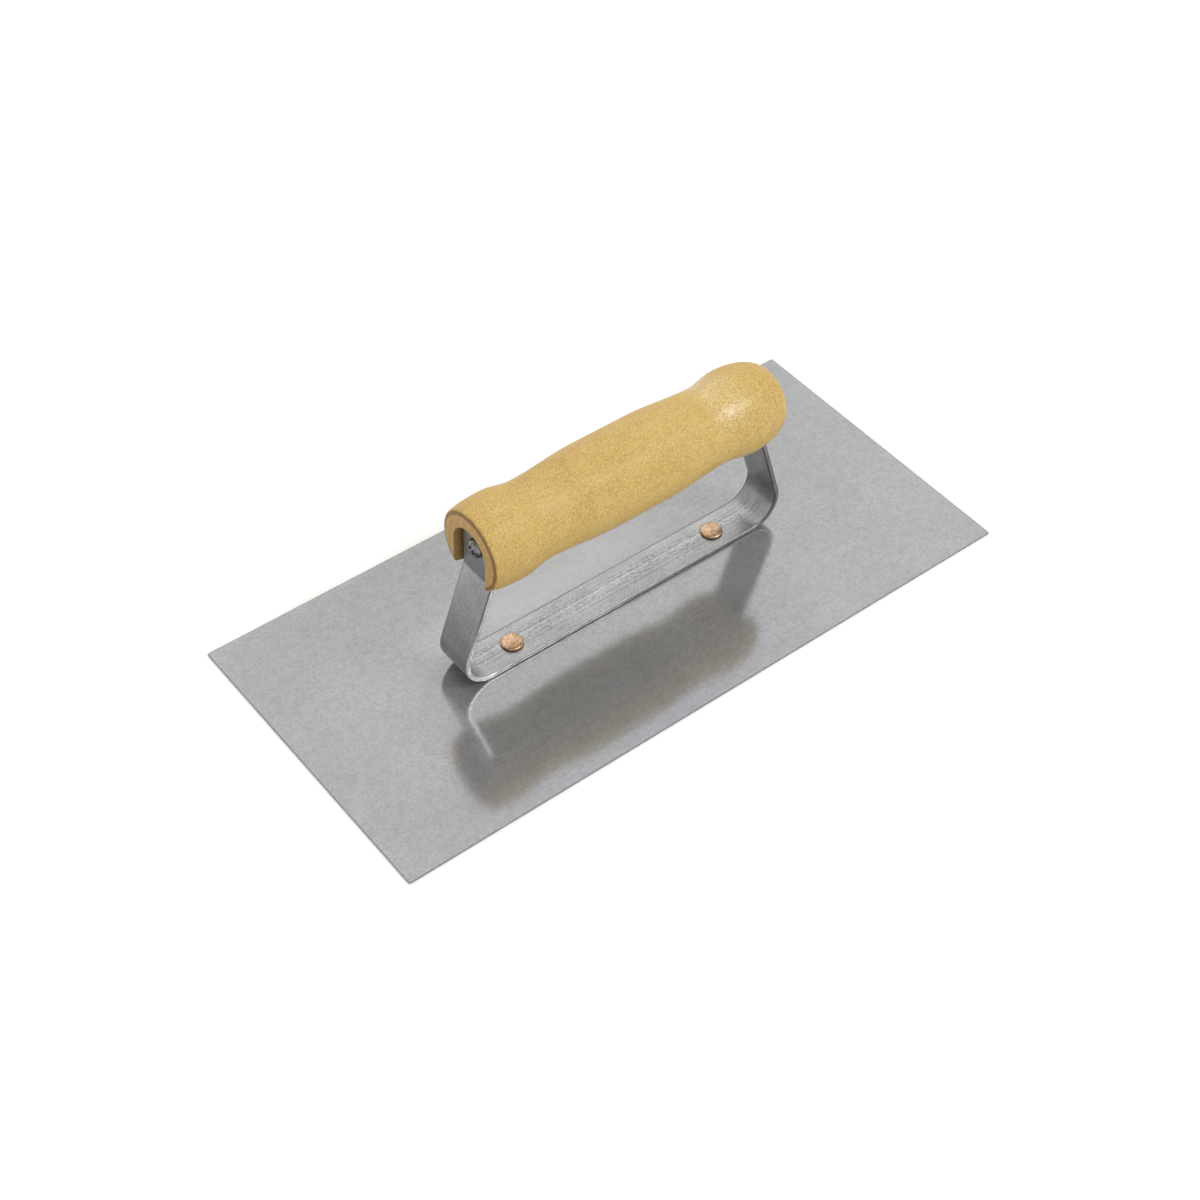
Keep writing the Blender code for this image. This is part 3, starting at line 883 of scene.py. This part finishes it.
handleShape = {
    "bellyHalf": 0.0120,
    "neckRadius": 0.0155,
    "neckAt": 0.0410,
    "bulgeAt": 0.0540,
    "frontFaceRadius": 0.0152,
    "rearFaceRadius": 0.0098,
    "sides": 96,
    "ringStep": 0.0011,
    "shoulderSteps": 16,
    "slotRoom": 0.0009,
    "slotSides": 64,
    "slotDrop": 0.03,
    "pilotRadius": 0.0021,
    "pilotSides": 32,
    "pilotMouth": 1.2,
    "endFacing": 0.94,
    "pastFloor": 0.002,
    "skin": 0.0006,
    "edgeRound": 0.00080,
    "edgeSteps": 3,
    "rimRound": 0.0012,
    "rimSteps": 5,
    "ringsAt": (0.0560, 0.0590, 0.0622, 0.0650),
    "ringDepth": 0.00010,
    "ringHalf": 0.00045,
}


def turnedRadius(along):
    full = (handleHigh.y - handleLow.y) / 2
    neck = handleShape["neckRadius"]
    distance = abs(along)
    if distance <= handleShape["bellyHalf"]:
        radius = full
    elif distance <= handleShape["neckAt"]:
        share = (distance - handleShape["bellyHalf"]) / (handleShape["neckAt"] - handleShape["bellyHalf"])
        radius = full + (neck - full) * (1 - math.cos(math.pi * share)) / 2
    elif distance <= handleShape["bulgeAt"]:
        share = (distance - handleShape["neckAt"]) / (handleShape["bulgeAt"] - handleShape["neckAt"])
        radius = neck + (full - neck) * (1 - math.cos(math.pi * share)) / 2
    else:
        rear = along > 0
        end = handleHigh.x - middleX if rear else middleX - handleLow.x
        faceRadius = handleShape["rearFaceRadius"] if rear else handleShape["frontFaceRadius"]
        share = min(1.0, (distance - handleShape["bulgeAt"]) / (end - handleShape["bulgeAt"]))
        radius = faceRadius + (full - faceRadius) * math.sqrt(max(0.0, 1 - share * share))
    rim = handleShape["rimRound"]
    inset = min(along - (handleLow.x - middleX), (handleHigh.x - middleX) - along)
    if inset < rim:
        radius -= rim - math.sqrt(max(0.0, rim * rim - (rim - inset) ** 2))
    for groove in handleShape["ringsAt"]:
        radius -= handleShape["ringDepth"] * math.exp(-((along - groove) / handleShape["ringHalf"]) ** 2)
    return radius


def turnedStations():
    front, rear = handleLow.x - middleX, handleHigh.x - middleX
    bulge, rim, steps = handleShape["bulgeAt"], handleShape["rimRound"], handleShape["rimSteps"]
    turns = [math.pi / 2 * i / steps for i in range(steps)]
    stations = [front + rim * (1 - math.cos(turn)) for turn in turns]
    steps = handleShape["shoulderSteps"]
    for i in range(steps):
        stations.append(-bulge + (front + rim + bulge) * math.sin(math.pi / 2 * (1 - i / steps)))
    count = round(2 * bulge / handleShape["ringStep"])
    stations += [-bulge + 2 * bulge * i / count for i in range(count)]
    for i in range(steps * 4):
        stations.append(bulge + (rear - rim - bulge) * math.sin(math.pi / 2 * i / (steps * 4)))
    stations += [rear - rim * (1 - math.cos(turn)) for turn in turns[::-1]]
    return stations


def slotCutter(side, floor, reach, halfWidth):
    # a round bar, halved, with its flat underside pulled down to make straight legs
    inner, outer = middleX + side * floor, middleX + side * reach
    bar = rodAlongX(halfWidth, inner, outer, axisZ, handleShape["slotSides"])
    openForEditing(bar, "FACE")
    bpy.ops.mesh.select_all(action="SELECT")
    bpy.ops.mesh.bisect(
        plane_co=(middleX, 0.0, axisZ), plane_no=(0.0, 0.0, 1.0), use_fill=True, clear_inner=True)
    pickFaces(bar, lambda at, facing: abs(facing.z) > 0.99 and at.z < axisZ + hair)
    pull(z=-handleShape["slotDrop"])
    bpy.ops.mesh.select_all(action="SELECT")
    bpy.ops.mesh.normals_make_consistent(inside=False)
    closeEditing()
    return bar


def makeHandle(pine, endWood, slot):
    stations = turnedStations()
    bpy.ops.mesh.primitive_circle_add(
        vertices=handleShape["sides"], radius=turnedRadius(stations[0]), fill_type="NGON",
        location=(middleX + stations[0], 0.0, axisZ), rotation=(0.0, math.pi / 2, 0.0))
    handle = bpy.context.object
    handle.name = "woodHandle"
    applyPlace(handle)
    openForEditing(handle, "FACE")
    bpy.ops.mesh.select_all(action="SELECT")
    for here, there in zip(stations, stations[1:]):
        pull(x=there - here)
        grow = turnedRadius(there) / turnedRadius(here)
        bpy.ops.transform.resize(value=(1.0, grow, grow), center_override=(middleX + there, 0.0, axisZ))
    bpy.ops.mesh.select_all(action="SELECT")
    bpy.ops.mesh.normals_make_consistent(inside=False)
    closeEditing()
    slotHalf = (strapHigh.y - strapLow.y) / 2 + handleShape["slotRoom"]
    slotFloor = strapShape["tabFace"] - strapShape["thickness"] - snug
    for side in (1, -1):
        cutWith(handle, slotCutter(side, slotFloor, 2 * slotFloor, slotHalf))
    for side, low, high in ((1, rearScrewLow, rearScrewHigh), (-1, frontScrewLow, frontScrewHigh)):
        deep = (low.x if side > 0 else high.x) - side * snug
        mouth = middleX + side * slotFloor * handleShape["pilotMouth"]
        pilot = rodAlongX(handleShape["pilotRadius"], deep, mouth, axisZ, handleShape["pilotSides"])
        cutWith(handle, pilot)
    tidyShell(handle, smoothBelow=30.0)
    roundEdges(handle, handleShape["edgeRound"], handleShape["edgeSteps"], sharperThan=48.0)
    tidyShell(handle, smoothBelow=35.0)
    evenShade(handle)
    dress(handle, pine, endWood, slot)
    for face in handle.data.polygons:
        at = face.center
        along = abs(at.x - middleX)
        onEnd = abs(face.normal.x) > handleShape["endFacing"] and along > slotFloor + handleShape["pastFloor"]
        between = abs(at.y) < slotHalf + 2 * snug and along > slotFloor - 2 * hair
        buried = math.hypot(at.y, at.z - axisZ) < turnedRadius(at.x - middleX) - handleShape["skin"]
        if onEnd:
            face.material_index = 1
        elif between and buried:
            face.material_index = 2
    return handle


copper = {
    "colour": (0.60, 0.385, 0.250),
    "tarnish": (0.33, 0.185, 0.078),
    "bright": (0.90, 0.73, 0.60),
    # painted shade round the foot of the head
    "rim": (0.15, 0.075, 0.030),
    "rimSpread": (0.0003, 0.0002),
    "rimShadeShare": 0.90,
    "metallic": 0.85,
    "roughness": 0.32,
    "patches": (620.0, 4.0, 0.65, 0.6),
    "patchReach": (0.42, 0.62, 0.0, 0.9),
    "fine": (2600.0, 2.0),
    "fineReach": (0.45, 0.70, 0.0, 0.7),
    "roughnessReach": (0.3, 0.7, 0.42, 0.24),
    "bump": (0.7, 0.00012),
}


def copperFinish():
    finish, tree, shader = newFinish("rivetCopper", copper)
    plain = objectPlace(tree)
    patches = cloudNoise(tree, plain, *copper["patches"])
    fine = cloudNoise(tree, plain, *copper["fine"])
    tone = stain(tree, copper["tarnish"], copper["colour"], patches, copper["patchReach"], True)
    tone = stain(tree, tone, copper["bright"], fine, copper["fineReach"])
    # painted shade round the rim, darkest at its foot against the strap
    seat = bladeTop + strapShape["thickness"]
    rimFrom = seat + copper["rimSpread"][0]
    rimTo = seat + rivetShape["rimHeight"] + copper["rimSpread"][1]
    rim = remap(tree, axisValue(tree, plain, "Z"), rimFrom, rimTo, copper["rimShadeShare"], 0.0, True)
    tone = blendColours(tree, rim, tone, copper["rim"])
    tree.links.new(tone, shader.inputs["Base Color"])
    setRoughness(tree, shader, patches, copper["roughnessReach"])
    raiseFrom(tree, shader, patches, *copper["bump"])
    return finish


rivetShape = {
    "sides": 56,
    "headHeight": 0.0016,
    "rimHeight": 0.00075,
    "domeSteps": 7,
    "flatTop": 0.35,
    "flatCentre": 0.21,
    "shankRadius": 0.0025,
    "tailRadius": 0.00418,
    "tailTop": 0.0029,
    "tailStep": 0.00001,
    "tailLift": 0.00003,
    "tailInset": 0.00012,
    "edgeRound": 0.00014,
    "edgeSteps": 2,
}


def makeRivet(name, low, high, finish):
    centre = ((low.x + high.x) / 2, 0.0)
    head = (high.x - low.x) / 2
    seat = bladeTop + snug + strapShape["thickness"] + snug
    rim = rivetShape["rimHeight"]
    bpy.ops.mesh.primitive_cylinder_add(
        vertices=rivetShape["sides"], radius=head, depth=rim, location=(*centre, seat + rim / 2))
    rivet = bpy.context.object
    rivet.name = name
    applyPlace(rivet)
    openForEditing(rivet, "FACE")
    # the dome, drawn up from the rim in narrowing rings to a small flat
    pickFaces(rivet, lambda at, facing: facing.z > squarely)
    rise = rivetShape["headHeight"] - rim
    wide, tall = 1.0, 0.0
    for i in range(1, rivetShape["domeSteps"] + 1):
        turn = math.pi / 2 * i / rivetShape["domeSteps"]
        nextWide = max(rivetShape["flatTop"], math.cos(turn))
        nextTall = math.sin(turn)
        if i == rivetShape["domeSteps"]:
            nextWide = rivetShape["flatCentre"]
        pull(z=(nextTall - tall) * rise)
        grow = nextWide / wide
        ring = (*centre, seat + rim + nextTall * rise)
        bpy.ops.transform.resize(value=(grow, grow, 1.0), center_override=ring)
        wide, tall = nextWide, nextTall
    # the shank below the head, then the tail spread into the countersink
    pickFaces(rivet, lambda at, facing: facing.z < -squarely)
    bpy.ops.mesh.inset(thickness=head - rivetShape["shankRadius"], depth=0.0)
    pull(z=bladeTop - seat)
    pull(z=-rivetShape["tailStep"])
    spread = rivetShape["tailTop"] / rivetShape["shankRadius"]
    bpy.ops.transform.resize(value=(spread, spread, 1.0), center_override=(*centre, bladeTop))
    pull(z=rivetShape["tailLift"] - bladeTop + rivetShape["tailStep"])
    spread = rivetShape["tailRadius"] / rivetShape["tailTop"]
    bpy.ops.transform.resize(value=(spread, spread, 1.0), center_override=(*centre, rivetShape["tailLift"]))
    bpy.ops.mesh.inset(thickness=rivetShape["tailInset"], depth=0.0)
    closeEditing()
    tidyShell(rivet, smoothBelow=40.0)
    roundEdges(rivet, rivetShape["edgeRound"], rivetShape["edgeSteps"], sharperThan=60.0)
    tidyShell(rivet, smoothBelow=40.0)
    dress(rivet, finish)
    return rivet


zincPlate = {
    # far darker than bare zinc: painted shade of the slot the head sits in
    "colour": (0.22, 0.215, 0.21),
    "dull": (0.065, 0.063, 0.061),
    "metallic": 1.0,
    "roughness": 0.30,
    "patches": (520.0, 3.0, 0.6),
    "patchReach": (0.4, 0.66, 0.0, 0.8),
    "roughnessReach": (0.3, 0.7, 0.16, 0.34),
    "fine": (3000.0, 2.0),
    "bump": (0.3, 0.00002),
}


def zincFinish():
    finish, tree, shader = newFinish("zincPlate", zincPlate)
    plain = objectPlace(tree)
    patches = cloudNoise(tree, plain, *zincPlate["patches"])
    fine = cloudNoise(tree, plain, *zincPlate["fine"])
    tone = stain(tree, zincPlate["colour"], zincPlate["dull"], patches, zincPlate["patchReach"], True)
    tree.links.new(tone, shader.inputs["Base Color"])
    setRoughness(tree, shader, patches, zincPlate["roughnessReach"])
    raiseFrom(tree, shader, fine, *zincPlate["bump"])
    return finish


recessShade = {
    # near black: painted shade down in the cross recess
    "colour": (0.012, 0.012, 0.013),
    "grey": (0.035, 0.035, 0.036),
    "metallic": 0.6,
    "roughness": 0.6,
    "grit": (2400.0, 2.0),
    "gritReach": (0.4, 0.65, 0.0, 1.0),
    "roughnessReach": (0.3, 0.7, 0.4, 0.6),
}


def recessFinish():
    finish, tree, shader = newFinish("recessShade", recessShade)
    grit = cloudNoise(tree, objectPlace(tree), *recessShade["grit"])
    tone = stain(tree, recessShade["colour"], recessShade["grey"], grit, recessShade["gritReach"])
    tree.links.new(tone, shader.inputs["Base Color"])
    setRoughness(tree, shader, grit, recessShade["roughnessReach"])
    return finish


screwShape = {
    "sides": 48,
    "headRadius": 0.0038,
    "rimShadeShare": 0.25,
    "domeSteps": 6,
    "domeTurns": 6.6,
    "domedFrom": 0.55,
    "domedFacing": 0.2,
    "shankRadius": 0.0019,
    "point": 0.0045,
    "pointPull": 0.9,
    "pointShare": 0.12,
    "recessSpan": 0.0066,
    "recessWidth": 0.0014,
    "recessDepth": 0.0015,
    "recessTaper": (1.0, 0.6, 0.25),
}


def makeScrew(name, low, high, side, finish, recess):
    top = high.x if side > 0 else low.x
    tip = low.x if side > 0 else high.x
    seat = middleX + side * (strapShape["tabFace"] + snug)
    rise = abs(top - seat)
    rim = rise * screwShape["rimShadeShare"]
    screw = rodAlongX(screwShape["headRadius"], seat, seat + side * rim, axisZ, screwShape["sides"])
    screw.name = name
    openForEditing(screw, "FACE")
    pickFaces(screw, lambda at, facing: side * facing.x > squarely)
    wide, tall = 1.0, 0.0
    for i in range(1, screwShape["domeSteps"] + 1):
        turn = math.pi / 2 * i / screwShape["domeTurns"]
        pull(x=side * (math.sin(turn) - tall) * (rise - rim))
        grow = math.cos(turn) / wide
        bpy.ops.transform.resize(value=(1.0, grow, grow), center_override=(seat, 0.0, axisZ))
        wide, tall = math.cos(turn), math.sin(turn)
    # the plain shank and its point
    pickFaces(screw, lambda at, facing: side * facing.x < -squarely)
    bpy.ops.mesh.inset(thickness=screwShape["headRadius"] - screwShape["shankRadius"], depth=0.0)
    pull(x=tip + side * screwShape["point"] - seat)
    pull(x=-side * screwShape["point"] * screwShape["pointPull"])
    share = screwShape["pointShare"]
    bpy.ops.transform.resize(value=(1.0, share, share), center_override=(tip, 0.0, axisZ))
    closeEditing()
    for turn in (math.pi / 4, -math.pi / 4):
        # one arm of the cross recess, narrower at its bottom
        bpy.ops.mesh.primitive_cube_add(size=1.0, location=(top, 0.0, axisZ))
        arm = bpy.context.object
        arm.scale = (2 * screwShape["recessDepth"], screwShape["recessWidth"], screwShape["recessSpan"])
        applyPlace(arm)
        openForEditing(arm, "FACE")
        pickFaces(arm, lambda at, facing: side * facing.x < -squarely)
        bpy.ops.transform.resize(value=screwShape["recessTaper"], center_override=(top, 0.0, axisZ))
        bpy.ops.mesh.select_all(action="SELECT")
        bpy.ops.transform.rotate(value=turn, orient_axis="X", center_override=(top, 0.0, axisZ))
        closeEditing()
        cutWith(screw, arm)
    tidyShell(screw, smoothBelow=35.0)
    dress(screw, finish, recess)
    for face in screw.data.polygons:
        radius = math.hypot(face.center.y, face.center.z - axisZ)
        above = side * (face.center.x - seat)
        upward = side * face.normal.x > screwShape["domedFacing"]
        domed = upward and above > rise * screwShape["domedFrom"]
        if radius < screwShape["recessSpan"] / 2 and above > hair and not domed:
            face.material_index = 1
    return screw


steel = sheetSteelFinish()
strip = stripSteelFinish()
pine = varnishedPineFinish()
endWood = sawnEndFinish()
slotInside = slotWoodFinish()
rivetCopper = copperFinish()
zinc = zincFinish()
recess = recessFinish()
print("finishes ready")

steelBlade = makeBlade(steel, shearedEdgeFinish())
print("blade ready")
handleBracket = makeStrap(strip, polishedEdgeFinish())
print("bracket ready")
woodHandle = makeHandle(pine, endWood, slotInside)
print("handle ready")
frontRivet = makeRivet("frontRivet", frontRivetLow, frontRivetHigh, rivetCopper)
rearRivet = copyOf(frontRivet, "rearRivet", rearRivetLow.x - frontRivetLow.x)
print("rivets ready")
frontScrew = makeScrew("frontScrew", frontScrewLow, frontScrewHigh, -1, zinc, recess)
rearScrew = copyOf(frontScrew, "rearScrew", rearScrewLow.x + frontScrewHigh.x, halfTurn=True)
print("screws ready")

for piece, node, slotName in (
        (steelBlade, "blade", "blade_steel"),
        (handleBracket, "bracket", "strap_steel"),
        (woodHandle, "handle", "varnished_pine"),
        (frontRivet, "rivet_front", "rivet_copper"),
        (rearRivet, "rivet_rear", "rivet_copper"),
        (frontScrew, "screw_front", "screw_zinc"),
        (rearScrew, "screw_rear", "screw_zinc")):
    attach(piece, "root")
    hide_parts(node)


paperFloor = {
    "colour": (0.93, 0.94, 0.955),
    "metallic": 0.0,
    "roughness": 0.85,
    "size": 9.0,
    "drop": 0.0002,
}

studio = {
    "roomLight": 0.80,
    "softboxAt": (0.33, 0.53, 0.78),
    "softboxInner": 16.0,
    "softboxOuter": 46.0,
    "softboxLight": 1.58,
    "skyColour": (1.025, 1.0, 0.962),
    "keyAt": (0.33, -0.53, 0.77),
    "keyDistance": 1.5,
    "keySize": 0.24,
    "keyPower": 7.2,
}


def makeStudio():
    deselectAll()
    height = bladeLow.z - paperFloor["drop"]
    bpy.ops.mesh.primitive_plane_add(size=paperFloor["size"], location=(0.0, 0.0, height))
    floor = bpy.context.object
    floor.name = "floor"
    dress(floor, newFinish("paperFloor", paperFloor)[0])
    # a pale sky, with one broad soft patch of light over the far side
    world = bpy.data.worlds.new("studioSky")
    bpy.context.scene.world = world
    world.use_nodes = True
    tree = world.node_tree
    sky = tree.nodes["Background"]
    sky.inputs["Color"].default_value = (*studio["skyColour"], 1.0)
    where = tree.nodes.new("ShaderNodeTexCoord")
    facing = tree.nodes.new("ShaderNodeVectorMath")
    facing.operation = "DOT_PRODUCT"
    facing.inputs[1].default_value = Vector(studio["softboxAt"]).normalized()
    tree.links.new(where.outputs["Generated"], facing.inputs[0])
    inner, outer = (math.cos(math.radians(studio[edge])) for edge in ("softboxInner", "softboxOuter"))
    strengths = (studio["roomLight"], studio["softboxLight"])
    glow = remap(tree, facing.outputs["Value"], outer, inner, *strengths, True)
    tree.links.new(glow, sky.inputs["Strength"])
    # one small round light over the near side
    light = bpy.data.lights.new("keyLight", "AREA")
    light.shape = "DISK"
    light.size = studio["keySize"]
    light.energy = studio["keyPower"]
    lamp = bpy.data.objects.new("keyLight", light)
    bpy.context.scene.collection.objects.link(lamp)
    direction = Vector(studio["keyAt"]).normalized()
    lamp.location = direction * studio["keyDistance"]
    lamp.rotation_euler = direction.to_track_quat("Z", "Y").to_euler()


cameraView = {
    "azimuth": math.radians(-40.42),
    "elevation": math.radians(47.10),
    "roll": math.radians(2.64),
    "distance": 0.83306,
    "slideRight": -0.00441,
    "slideUp": -0.00301,
    "lens": 65.09,
}


def makeCamera():
    turn = (Matrix.Rotation(cameraView["azimuth"], 3, "Z")
            @ Matrix.Rotation(math.pi / 2 - cameraView["elevation"], 3, "X")
            @ Matrix.Rotation(cameraView["roll"], 3, "Z"))
    data = bpy.data.cameras.new("studioCamera")
    data.lens = cameraView["lens"]
    data.clip_start = 0.05
    camera = bpy.data.objects.new("studioCamera", data)
    bpy.context.scene.collection.objects.link(camera)
    place = Vector((cameraView["slideRight"], cameraView["slideUp"], cameraView["distance"]))
    camera.location = turn @ place
    camera.rotation_euler = turn.to_euler()
    bpy.context.scene.camera = camera


makeStudio()
makeCamera()
print("studio ready")
